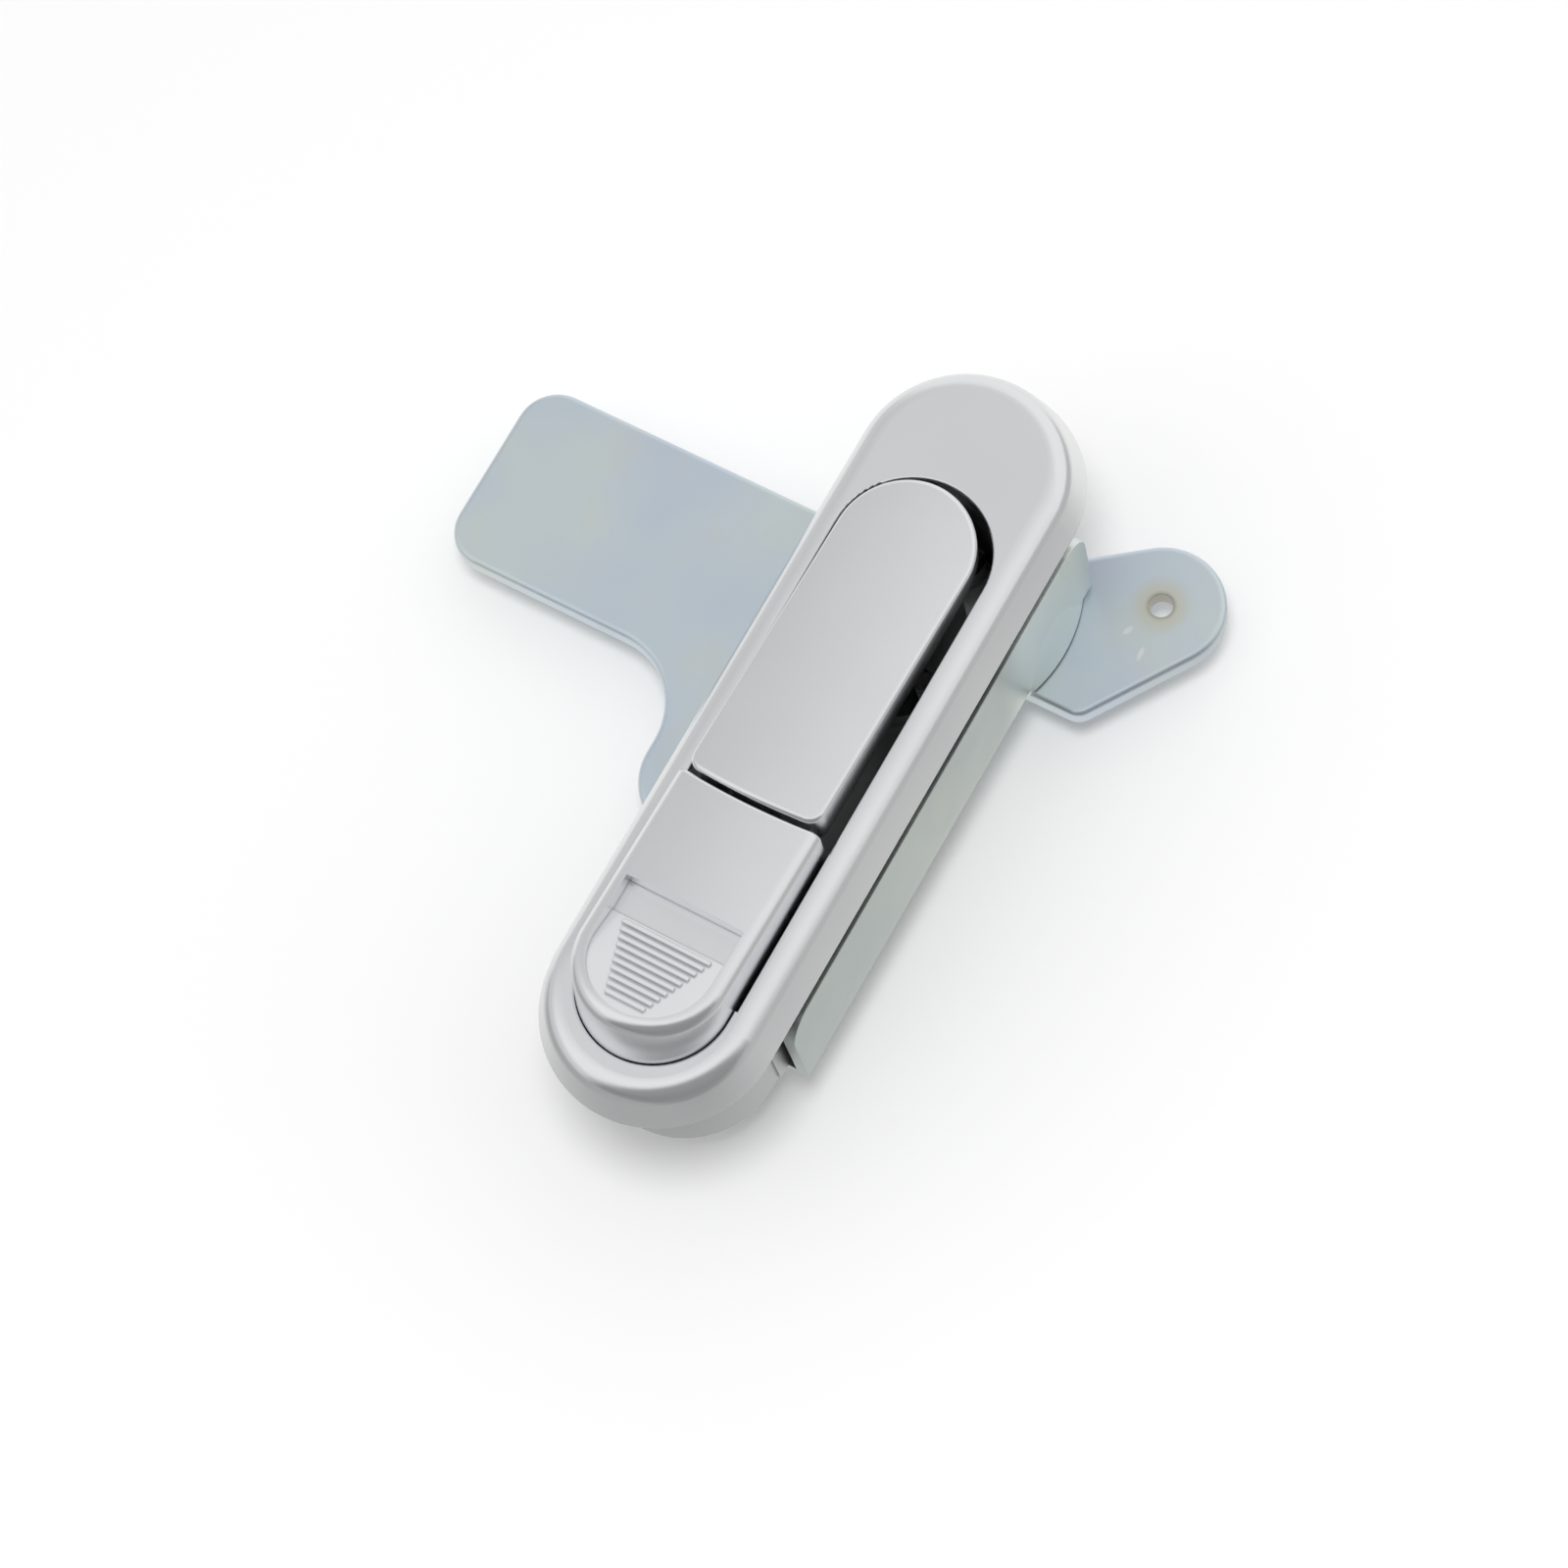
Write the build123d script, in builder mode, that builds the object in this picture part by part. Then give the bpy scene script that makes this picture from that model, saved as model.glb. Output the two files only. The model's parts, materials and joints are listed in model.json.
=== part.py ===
# Pushbutton cabinet latch: a flush quarter-turn panel lock with a pop-up handle.
# +Z points out of the panel, +Y runs to the plain end of the bezel, +X points to the rod ear.
# The origin is the centre of the bezel on the panel's front face. Millimetres.
import os
from math import asin, atan, cos, degrees, radians, sin, tan

from build123d import *

# Bezel and its tray
bezel_height = 8.0
bezel_draft = 17.0
rim_width = 5.75
rim_flat = 0.3
end_rim = 7.3
plain_end_length = 21.2
recess_edge_radius = 0.4
recess_foot_rise = 1.8
tray_wall = 2.5
tray_floor = 3.0
body_depth = 21.0
core_skin = 3.0
core_rib = 1.2

# Gasket
gasket_lip = 1.2
gasket_inner_lip = 0.2
gasket_thickness = 1.5

# Handle and the crowned top that it shares with the button
handle_length = 55.2
handle_side_gap = 1.5
handle_end_room = 2.2
handle_end_height = 13.0
split_height = 16.3
split_gap = 0.65
split_bow = 0.8
crown_rise = 1.2
handle_corner_radius = 2.5
handle_edge_radius = 0.8
handle_wall = 2.2
handle_ceiling = 10.4
rim_clearance = 0.4
handle_lift = 14.0

# Spindle
spindle_setback = 18.6
journal_radius = 6.0
boss_wall = 3.0
running_gap = 0.05
boss_top = -4.0
washer_thickness = 1.0
flange_room = 0.45
flange_overhang = 2.8
flange_thickness = 3.0
square_size = 8.0
square_gap = 0.05
turn_angle = 90.0

# Handle hinge on the spindle head
hinge_offset = 7.5
hinge_height = 6.2
hinge_pin_radius = 1.25
hinge_boss_radius = 2.6
tongue_width = 6.2
lug_gap = 0.3
lug_thickness = 2.5
press_gap = 0.02

# Handle spring
handle_spring_radius = 2.8
handle_spring_wire = 0.4
handle_spring_offset = 4.5
handle_spring_turns = 5

# Stop pin
stop_pin_radius = 1.5
stop_pin_angle = -30.0
stop_gap = 0.1
stop_socket_depth = 2.0

# Push button
button_length = 39.45
button_side_gap = 0.5
button_gap = 0.12
button_drop = 0.5
button_end_lean = 11.0
button_edge_radius = 2.2
button_front_radius = 0.6
button_wall = 2.2
button_skirt = -9.5
button_ceiling = 10.6
catch_ceiling = 13.6
catch_ceiling_length = 14.75
button_travel = 2.5

# Thumb scoop
scoop_length = 22.3
scoop_wall = 2.15
scoop_depth = 3.8
scoop_band = 4.9
scoop_step = 0.35
scoop_lip = 0.7
rib_count = 10
rib_height = 0.5
rib_width = 0.65
rib_top_width = 14.4
rib_foot_width = 6.4

# Catch lever below the button
catch_pin_radius = 1.5
catch_setback = 4.35
catch_pin_z = -4.0
catch_width = 8.0
catch_window_gap = 0.6
catch_hub_radius = 3.0
catch_arm = 14.0
catch_tail_rise = 1.5
catch_thickness = 3.0
catch_nose_z = 9.6
catch_nose_height = 1.4
catch_nose_length = 1.8
catch_window_top = 13.2
push_leg_width = 5.0
push_leg_radius = 1.1
push_gap = 0.1
guide_pin_room = 4.9

# Catch spring
catch_spring_radius = 2.8
catch_spring_wire = 0.45
catch_spring_turns = 5
spring_post_height = 4.0
spring_gap = 0.1

# Mounting bracket and its screws
bracket_thickness = 2.0
bracket_side_room = 1.35
bracket_end_room = 5.8
bracket_foot_room = 5.3
bracket_panel_room = 2.1
bracket_bend_radius = 1.5
bracket_corner_radius = 5.0
bracket_window_radius = 11.0
bulge_setback = 11.6
bulge_axis_x = -4.5
bulge_depth = 1.4
bulge_taper = 3.0
screw_radius = 2.0
screw_head_radius = 3.7
screw_length = 10.0
screw_slot_depth = 0.8
screw_boss_radius = 4.2
screw_boss_height = 7.0
screw_upper_room = 0.3
screw_lower_room = 8.2

# Spindle fittings
circlip_thickness = 1.0
circlip_width = 2.4
circlip_groove_depth = 0.8
circlip_opening = 3.0
o_ring_radius = 0.9
o_ring_z = -11.0

# Cam plate and its screw
cam_gap = 0.5
cam_thickness = 3.0
cam_hub_radius = 15.0
paddle_end_x = -76.7
paddle_upper_rise = 19.0
paddle_lower_drop = 12.6
paddle_corner_radius = 6.5
paddle_root_radius = 12.5
ear_hole_x = 28.7
ear_hole_rise = 28.5
ear_hole_radius = 1.9
ear_tip_radius = 9.9
ear_upper_angle = 36.0
ear_lower_angle = 56.0
ear_heel_rise = 6.9
ear_heel_radius = 3.0
lobe_hole_x = -20.2
lobe_hole_drop = 27.2
lobe_lower_angle = 50.0
cam_edge_radius = 1.0
cam_screw_radius = 3.0
cam_screw_length = 16.0
cam_screw_head_height = 4.0
cam_screw_head_flats = 10.0
cam_washer_radius = 9.0
cam_washer_thickness = 1.5
spring_washer_radius = 5.5
spring_washer_thickness = 1.6
spring_washer_split = 0.8

# Widths, levels and places that follow from the sizes above
boss_radius = journal_radius + boss_wall
flange_radius = boss_radius + flange_overhang
stop_radius = boss_radius + stop_pin_radius + stop_gap
recess_width = 2 * (flange_radius + flange_room)
bezel_width = recess_width + 2 * rim_width
rim_room = rim_width - bezel_height * tan(radians(bezel_draft)) - recess_edge_radius - rim_flat
bezel_edge_radius = rim_room / tan(radians(90 - bezel_draft) / 2)
tray_width = recess_width + 2 * tray_wall
gasket_width = (bezel_width - tray_width) / 2 - gasket_lip - gasket_inner_lip
handle_width = recess_width - 2 * handle_side_gap
button_width = recess_width - 2 * button_side_gap
seat_radius = button_width / 2 + button_gap
bracket_width = tray_width + 2 * (bracket_side_room + bracket_thickness)
bulge_foot_radius = bracket_width / 2 + bulge_depth - bulge_axis_x
bulge_top_radius = bulge_foot_radius - bulge_taper

bezel_length = end_rim + button_length + split_gap + handle_length + handle_end_room + plain_end_length
button_end_y = end_rim - bezel_length / 2
button_arc_y = button_end_y + button_width / 2
button_front_y = button_end_y + button_length
split_y = button_front_y + split_gap
handle_end_y = split_y + handle_length
recess_end_y = handle_end_y + handle_end_room
recess_arc_y = recess_end_y - recess_width / 2
recess_foot_y = button_arc_y + recess_foot_rise
tray_end_y = recess_end_y + tray_wall
spindle_y = handle_end_y - spindle_setback
hinge_y = spindle_y + hinge_offset
scoop_y = button_end_y + scoop_length
catch_ceiling_foot_y = button_front_y - catch_ceiling_length
catch_pin_y = button_front_y - catch_setback
catch_tail_y = catch_pin_y - catch_arm
guide_pin_y = catch_tail_y - guide_pin_room
bracket_top_y = recess_end_y + bracket_end_room
bracket_foot_y = catch_tail_y - bracket_foot_room
bulge_y = bracket_top_y - bulge_setback
screw_upper_y = handle_end_y + screw_upper_room
screw_lower_y = catch_tail_y + screw_lower_room
paddle_upper_y = spindle_y + paddle_upper_rise
paddle_lower_y = spindle_y - paddle_lower_drop
ear_hole_y = spindle_y + ear_hole_rise
ear_heel_y = spindle_y + ear_heel_rise
lobe_hole_y = spindle_y - lobe_hole_drop

floor_z = tray_floor - body_depth
handle_base = bezel_height + rim_clearance
flange_bottom = boss_top + washer_thickness + running_gap
flange_top = flange_bottom + flange_thickness
cam_top = -body_depth - bracket_thickness - cam_gap
cam_bottom = cam_top - cam_thickness
crown_radius = ((handle_width / 2) ** 2 + crown_rise**2) / (2 * crown_rise)
bow_radius = ((handle_width / 2) ** 2 + split_bow**2) / (2 * split_bow)
bow_y = split_y + bow_radius
top_slope = (split_height - handle_end_height) / (handle_end_y - split_y)
top_tilt = atan(top_slope)
end_lean = radians(button_end_lean)
spindle_axis = Axis((0, spindle_y, 0), (0, 0, 1))
spindle_section = Plane.XZ.offset(-spindle_y)
crown_plane = Plane(
    origin=(0, handle_end_y, handle_end_height),
    x_dir=(1, 0, 0),
    z_dir=(0, -cos(top_tilt), sin(top_tilt)),
)


def top_z(y):
    """Height of the shared top along its middle line."""
    return handle_end_height + (handle_end_y - y) * top_slope


def tray_plan(half_width, foot_y):
    """Plan with a round upper end and a square foot, drawn in the open sketch."""
    with Locations((0, recess_arc_y)):
        Circle(half_width)
    with Locations((0, foot_y)):
        Rectangle(2 * half_width, recess_arc_y - foot_y, align=(Align.CENTER, Align.MIN))


def button_plan(half_width, front_y, arc_y):
    """Plan with a square front and a round end, drawn in the open sketch."""
    with Locations((0, front_y)):
        Rectangle(2 * half_width, front_y - arc_y, align=(Align.CENTER, Align.MAX))
    with Locations((0, arc_y)):
        Circle(half_width)


def coil(radius, wire, bottom, top, turns, x, y):
    """Compression spring of round wire between two levels, centred on (x, y)."""
    rise = top - bottom - 2 * wire
    with BuildPart() as spring:
        with BuildLine(Plane((x, y, bottom + wire))) as path:
            Helix(pitch=rise / turns, height=rise, radius=radius)
        with BuildSketch(Plane(path.line @ 0, z_dir=path.line % 0)):
            Circle(wire)
        sweep(is_frenet=True)
    return spring


os.makedirs("parts", exist_ok=True)

# Bezel: rounded front, tray behind it, bosses inside the tray
with BuildPart() as bezel:
    with BuildSketch(Plane.XY):
        SlotOverall(bezel_length, bezel_width, rotation=90)
    extrude(amount=bezel_height, taper=bezel_draft)
    fillet(bezel.faces().sort_by(Axis.Z)[-1].edges(), bezel_edge_radius)
    # Tray with a round seat for the button's end
    with BuildSketch(Plane.XY.offset(-body_depth)):
        tray_plan(tray_width / 2, recess_foot_y)
        button_plan(seat_radius + tray_wall, recess_foot_y, button_arc_y)
    extrude(amount=body_depth + bezel_height - core_skin)
    with BuildSketch(Plane.XY.offset(floor_z)):
        tray_plan(recess_width / 2, recess_foot_y)
        button_plan(seat_radius, recess_foot_y, button_arc_y)
    extrude(amount=bezel_height - floor_z, mode=Mode.SUBTRACT)
    fillet(bezel.faces().sort_by(Axis.Z)[-1].inner_wires()[0].edges(), recess_edge_radius)
    # Gasket rabbet and the cored underside of the plain end
    with BuildSketch(Plane.XY):
        outer = gasket_lip
        inner = gasket_lip + gasket_width
        SlotOverall(bezel_length - 2 * outer, bezel_width - 2 * outer, rotation=90)
        SlotOverall(bezel_length - 2 * inner, bezel_width - 2 * inner, rotation=90, mode=Mode.SUBTRACT)
    extrude(amount=gasket_thickness, mode=Mode.SUBTRACT)
    with BuildSketch(Plane.XY):
        inset = gasket_lip + gasket_width + core_rib
        SlotOverall(bezel_length - 2 * inset, bezel_width - 2 * inset, rotation=90)
        with Locations((0, tray_end_y + core_rib)):
            Rectangle(bezel_width, bezel_length, align=(Align.CENTER, Align.MAX), mode=Mode.SUBTRACT)
    extrude(amount=bezel_height - core_skin, mode=Mode.SUBTRACT)
    # Bosses for the spindle, the bracket screws and the catch spring
    with BuildSketch(Plane.XY.offset(floor_z)):
        with Locations((0, spindle_y)):
            Circle(boss_radius)
    extrude(amount=boss_top - floor_z)
    with BuildSketch(Plane.XY.offset(floor_z)):
        with Locations((0, screw_upper_y), (0, screw_lower_y)):
            Circle(screw_boss_radius)
    extrude(amount=screw_boss_height)
    with BuildSketch(Plane.XY.offset(floor_z)):
        with Locations((0, catch_tail_y)):
            Circle(catch_spring_radius - catch_spring_wire - spring_gap)
    extrude(amount=spring_post_height)
    # Bores
    with BuildSketch(Plane.XY.offset(-body_depth)):
        with Locations((0, spindle_y)):
            Circle(journal_radius + running_gap)
    extrude(amount=body_depth + boss_top, mode=Mode.SUBTRACT)
    with BuildSketch(Plane.XY.offset(-body_depth)):
        with Locations((0, screw_upper_y), (0, screw_lower_y)):
            Circle(screw_radius + press_gap)
    extrude(amount=screw_length - bracket_thickness + core_rib, mode=Mode.SUBTRACT)
    with BuildSketch(Plane.XY.offset(floor_z - stop_socket_depth)):
        with Locations((0, spindle_y)):
            with PolarLocations(stop_radius, 1, stop_pin_angle):
                Circle(stop_pin_radius + press_gap)
    extrude(amount=stop_socket_depth, mode=Mode.SUBTRACT)
    with BuildSketch(Plane.YZ):
        with Locations((catch_pin_y, catch_pin_z), (guide_pin_y, catch_pin_z)):
            Circle(catch_pin_radius + press_gap)
    extrude(amount=bezel_width, both=True, mode=Mode.SUBTRACT)
bezel.part.label = "bezel"
export_step(bezel.part, "parts/bezel.step")

# Gasket: flat rubber ring in the bezel's rabbet
with BuildPart() as gasket:
    with BuildSketch(Plane.XY):
        outer = gasket_lip + press_gap
        inner = gasket_lip + gasket_width - press_gap
        SlotOverall(bezel_length - 2 * outer, bezel_width - 2 * outer, rotation=90)
        SlotOverall(bezel_length - 2 * inner, bezel_width - 2 * inner, rotation=90, mode=Mode.SUBTRACT)
    extrude(amount=gasket_thickness)
gasket.part.label = "gasket"
export_step(gasket.part, "parts/gasket.step")

# Handle: crowned lever with a bowed end, hollow below, with two hinge lugs
with BuildPart() as handle:
    with BuildSketch(Plane.XY.offset(handle_base)):
        with Locations((0, split_y)):
            Rectangle(handle_width, handle_end_y - handle_width / 2 - split_y,
                      align=(Align.CENTER, Align.MIN))
        with Locations((0, handle_end_y - handle_width / 2)):
            Circle(handle_width / 2)
        with Locations((0, bow_y)):
            Circle(bow_radius, mode=Mode.INTERSECT)
    extrude(amount=split_height)
    fillet(handle.edges().filter_by(Axis.Z).group_by(Axis.Y)[0], handle_corner_radius)
    with BuildSketch(crown_plane):
        with Locations((0, -crown_radius)):
            Circle(crown_radius)
    extrude(amount=bezel_length, both=True, mode=Mode.INTERSECT)
    fillet(handle.faces().sort_by(Axis.Z)[-1].edges(), handle_edge_radius)
    with BuildSketch(Plane.XY.offset(handle_base)):
        inner_width = handle_width - 2 * handle_wall
        with Locations((0, split_y + handle_wall)):
            Rectangle(inner_width, handle_end_y - handle_width / 2 - split_y - handle_wall,
                      align=(Align.CENTER, Align.MIN))
        with Locations((0, handle_end_y - handle_width / 2)):
            Circle(inner_width / 2)
    extrude(amount=handle_ceiling - handle_base, mode=Mode.SUBTRACT)
    # Underside behind the hinge, cut back so that it stays above the rim when lifted
    lift = radians(handle_lift)
    relief_reach = handle_end_y - hinge_y + handle_wall
    relief_start = (handle_base - hinge_height) / cos(lift)
    with BuildSketch(Plane.YZ):
        with BuildLine():
            Polyline(
                (hinge_y, 0),
                (hinge_y, hinge_height + relief_start),
                (hinge_y + relief_reach, hinge_height + relief_start + relief_reach * tan(lift)),
                (hinge_y + relief_reach, 0),
                close=True,
            )
        make_face()
    extrude(amount=handle_width, both=True, mode=Mode.SUBTRACT)
    # Slot in the end wall that the catch's nose enters
    with BuildSketch(Plane.XZ.offset(-split_y)):
        with Locations((0, catch_nose_z)):
            Rectangle(catch_width + catch_window_gap, catch_nose_height + catch_window_gap)
    extrude(amount=-handle_wall, mode=Mode.SUBTRACT)
    with BuildSketch(Plane.YZ.offset(tongue_width / 2 + lug_gap)):
        with Locations((hinge_y, hinge_height)):
            Circle(hinge_boss_radius)
            Rectangle(2 * hinge_boss_radius, handle_ceiling + handle_edge_radius - hinge_height,
                      align=(Align.CENTER, Align.MIN))
            Circle(hinge_pin_radius + press_gap, mode=Mode.SUBTRACT)
    lug = extrude(amount=lug_thickness)
    mirror(lug, about=Plane.YZ)
handle.part.label = "handle"
export_step(handle.part, "parts/handle.step")

# Handle pin: pressed into the handle's lugs
with BuildPart() as handle_pin:
    with BuildSketch(Plane.YZ):
        with Locations((hinge_y, hinge_height)):
            Circle(hinge_pin_radius)
    extrude(amount=tongue_width / 2 + lug_gap + lug_thickness, both=True)
handle_pin.part.label = "handle_pin"
export_step(handle_pin.part, "parts/handle_pin.step")

# Handle spring: pushes the handle up off the spindle's flange
handle_spring = coil(
    handle_spring_radius,
    handle_spring_wire,
    flange_top,
    handle_ceiling - spring_gap,
    handle_spring_turns,
    0,
    spindle_y - handle_spring_offset,
)
handle_spring.part.label = "handle_spring"
export_step(handle_spring.part, "parts/handle_spring.step")

# Spindle: turned shaft with a flange, a hinge tongue on top and a square end
with BuildPart() as spindle:
    clip_top = -body_depth - running_gap
    clip_bottom = clip_top - circlip_thickness - running_gap
    groove_radius = journal_radius - circlip_groove_depth
    seal_radius = journal_radius - 2 * o_ring_radius + running_gap
    with BuildSketch(spindle_section):
        with BuildLine():
            Polyline(
                (0, cam_top),
                (journal_radius, cam_top),
                (journal_radius, clip_bottom),
                (groove_radius, clip_bottom),
                (groove_radius, clip_top),
                (journal_radius, clip_top),
                (journal_radius, o_ring_z - o_ring_radius),
                (seal_radius, o_ring_z - o_ring_radius),
                (seal_radius, o_ring_z + o_ring_radius),
                (journal_radius, o_ring_z + o_ring_radius),
                (journal_radius, flange_bottom),
                (flange_radius, flange_bottom),
                (flange_radius, flange_top),
                (0, flange_top),
                close=True,
            )
        make_face()
    revolve(axis=spindle_axis)
    with BuildSketch(Plane.XY.offset(cam_bottom + square_gap)):
        with Locations((0, spindle_y)):
            Rectangle(square_size, square_size)
    extrude(amount=cam_thickness - square_gap)
    with BuildSketch(Plane.XY.offset(cam_bottom)):
        with Locations((0, spindle_y)):
            Circle(cam_screw_radius + press_gap)
    extrude(amount=cam_screw_length, mode=Mode.SUBTRACT)
    # Notch in the flange that runs between the two stops
    half_pin = degrees(asin((stop_pin_radius + stop_gap) / stop_radius))
    with BuildSketch(Plane.XY.offset(flange_bottom)):
        with BuildLine():
            notch_start = stop_pin_angle - turn_angle - half_pin
            notch_span = turn_angle + 2 * half_pin
            near = CenterArc((0, spindle_y), stop_radius - stop_pin_radius - stop_gap, notch_start, notch_span)
            far = CenterArc((0, spindle_y), flange_radius + stop_pin_radius, notch_start, notch_span)
            Line(near @ 0, far @ 0)
            Line(near @ 1, far @ 1)
        make_face()
    extrude(amount=flange_thickness, mode=Mode.SUBTRACT)
    with BuildSketch(Plane.YZ):
        with Locations((hinge_y, hinge_height)):
            Circle(hinge_boss_radius)
            Rectangle(2 * hinge_boss_radius, hinge_height - flange_top, align=(Align.CENTER, Align.MAX))
    extrude(amount=tongue_width / 2, both=True)
    with BuildSketch(Plane.YZ):
        with Locations((hinge_y, hinge_height)):
            Circle(hinge_pin_radius + running_gap)
    extrude(amount=tongue_width, both=True, mode=Mode.SUBTRACT)
spindle.part.label = "spindle"
export_step(spindle.part, "parts/spindle.step")

# Thrust washer between the boss and the spindle's flange
with BuildPart() as thrust_washer:
    with BuildSketch(Plane.XY.offset(boss_top)):
        with Locations((0, spindle_y)):
            Circle(boss_radius - stop_gap)
            Circle(journal_radius + 2 * running_gap, mode=Mode.SUBTRACT)
    extrude(amount=washer_thickness)
thrust_washer.part.label = "thrust_washer"
export_step(thrust_washer.part, "parts/thrust_washer.step")

# Stop pin: stands in the tray's floor beside the boss
with BuildPart() as stop_pin:
    with BuildSketch(Plane.XY.offset(floor_z - stop_socket_depth)):
        with Locations((0, spindle_y)):
            with PolarLocations(stop_radius, 1, stop_pin_angle):
                Circle(stop_pin_radius)
    extrude(amount=flange_top - floor_z + stop_socket_depth)
stop_pin.part.label = "stop_pin"
export_step(stop_pin.part, "parts/stop_pin.step")

# Seal ring on the spindle
with BuildPart() as spindle_o_ring:
    with BuildSketch(spindle_section):
        with Locations((journal_radius - o_ring_radius + running_gap, o_ring_z)):
            Circle(o_ring_radius - press_gap)
    revolve(axis=spindle_axis)
spindle_o_ring.part.label = "spindle_o_ring"
export_step(spindle_o_ring.part, "parts/spindle_o_ring.step")

# Circlip behind the tray's floor
with BuildPart() as spindle_circlip:
    with BuildSketch(Plane.XY.offset(-body_depth - running_gap - circlip_thickness)):
        with Locations((0, spindle_y)):
            Circle(groove_radius + press_gap + circlip_width)
            Circle(groove_radius + press_gap, mode=Mode.SUBTRACT)
        with Locations((0, spindle_y)):
            Rectangle(circlip_opening, bezel_width, align=(Align.CENTER, Align.MIN), mode=Mode.SUBTRACT)
    extrude(amount=circlip_thickness - running_gap)
spindle_circlip.part.label = "spindle_circlip"
export_step(spindle_circlip.part, "parts/spindle_circlip.step")

# Thumb scoop: the hollow cut into the button, a step, a flat band and a floor that rises to the lip
end_rise = top_z(button_end_y) - button_drop - crown_rise - bezel_height
end_shift = end_rise * tan(end_lean)
band_y = scoop_y - scoop_band
lip_y = button_end_y + end_shift + scoop_wall
band_z = top_z(scoop_y) - button_drop - scoop_depth
floor_start_z = band_z + scoop_step
lip_z = top_z(lip_y) - button_drop - scoop_lip
floor_tilt = atan((lip_z - floor_start_z) / (band_y - lip_y))
rib_pitch = (band_y - lip_y) / (rib_count + 1)
floor_plane = Plane(
    origin=(0, band_y, floor_start_z),
    x_dir=(1, 0, 0),
    z_dir=(0, sin(floor_tilt), cos(floor_tilt)),
)
with BuildPart() as thumb_scoop:
    with BuildSketch(Plane.XY.offset(bezel_height)):
        button_plan(button_width / 2 - scoop_wall, scoop_y, button_arc_y + end_shift)
    extrude(amount=2 * split_height)
    with BuildSketch(Plane.YZ):
        with BuildLine():
            Polyline(
                (scoop_y, 2 * split_height),
                (scoop_y, band_z),
                (band_y, band_z),
                (band_y, floor_start_z),
                (lip_y, lip_z),
                (lip_y, 2 * split_height),
                close=True,
            )
        make_face()
    extrude(amount=button_width, both=True, mode=Mode.INTERSECT)
    with BuildSketch(floor_plane):
        for rib in range(rib_count):
            share = rib / (rib_count - 1)
            with Locations((0, -rib_pitch * (rib + 0.8))):
                Rectangle(rib_top_width + (rib_foot_width - rib_top_width) * share, rib_width)
    extrude(amount=rib_height, mode=Mode.SUBTRACT)

# Push button: crowned block with a leaning round end, a hollow underside and a ribbed thumb scoop
with BuildPart() as push_button:
    with BuildSketch(Plane.XY.offset(button_skirt)):
        button_plan(button_width / 2, split_y + split_bow, button_arc_y)
    extrude(amount=bezel_height - button_skirt)
    with BuildSketch(Plane.XY.offset(bezel_height)):
        button_plan(button_width / 2, split_y + split_bow, button_arc_y)
    extrude(amount=2 * split_height, dir=(0, sin(end_lean), cos(end_lean)))
    # Front, hollowed to follow the bow of the handle's end
    with BuildSketch(Plane.XY.offset(button_skirt)):
        with Locations((0, bow_y)):
            Circle(bow_radius + split_gap)
    extrude(amount=bezel_length, mode=Mode.SUBTRACT)
    with BuildSketch(crown_plane):
        with Locations((0, -crown_radius - button_drop)):
            Circle(crown_radius)
    extrude(amount=2 * bezel_length, both=True, mode=Mode.INTERSECT)
    fillet(push_button.faces().sort_by(Axis.Z)[-1].edges().sort_by(Axis.Y)[:-1], button_edge_radius)
    fillet(push_button.faces().sort_by(Axis.Y)[-1].edges().sort_by(Axis.Z)[1:], button_front_radius)
    with BuildSketch(Plane.XY.offset(button_skirt)):
        button_plan(button_width / 2 - button_wall, button_front_y - button_wall, button_arc_y)
    extrude(amount=button_ceiling - button_skirt, mode=Mode.SUBTRACT)
    # Higher ceiling over the catch, and the window that its nose comes through
    with BuildSketch(Plane.XY.offset(button_skirt)):
        with Locations((0, button_front_y - button_wall)):
            Rectangle(catch_width + 2 * catch_window_gap,
                      button_front_y - button_wall - catch_ceiling_foot_y, align=(Align.CENTER, Align.MAX))
    extrude(amount=catch_ceiling - button_skirt, mode=Mode.SUBTRACT)
    with BuildSketch(Plane.XY.offset(button_skirt)):
        with Locations((0, button_front_y)):
            Rectangle(catch_width + 2 * catch_window_gap, 2 * button_wall)
    extrude(amount=catch_window_top - button_skirt, mode=Mode.SUBTRACT)
    # Slots for the two cross pins
    slot_half = catch_pin_radius + catch_window_gap / 2
    with BuildSketch(Plane.YZ):
        with Locations((catch_pin_y, catch_pin_z), (guide_pin_y, catch_pin_z)):
            Rectangle(2 * slot_half, button_travel + slot_half, align=(Align.CENTER, Align.MIN))
            Rectangle(2 * slot_half, slot_half, align=(Align.CENTER, Align.MAX))
    extrude(amount=button_width, both=True, mode=Mode.SUBTRACT)
    # Round-footed leg that pushes the catch's tail
    push_foot_z = catch_pin_z + catch_tail_rise + push_gap + push_leg_radius
    with BuildSketch(Plane.YZ):
        with Locations((catch_tail_y, push_foot_z)):
            Circle(push_leg_radius)
            Rectangle(2 * push_leg_radius, button_ceiling + push_gap - push_foot_z,
                      align=(Align.CENTER, Align.MIN))
    extrude(amount=push_leg_width / 2, both=True)
    add(thumb_scoop.part, mode=Mode.SUBTRACT)
push_button.part.label = "push_button"
export_step(push_button.part, "parts/push_button.step")

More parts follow.
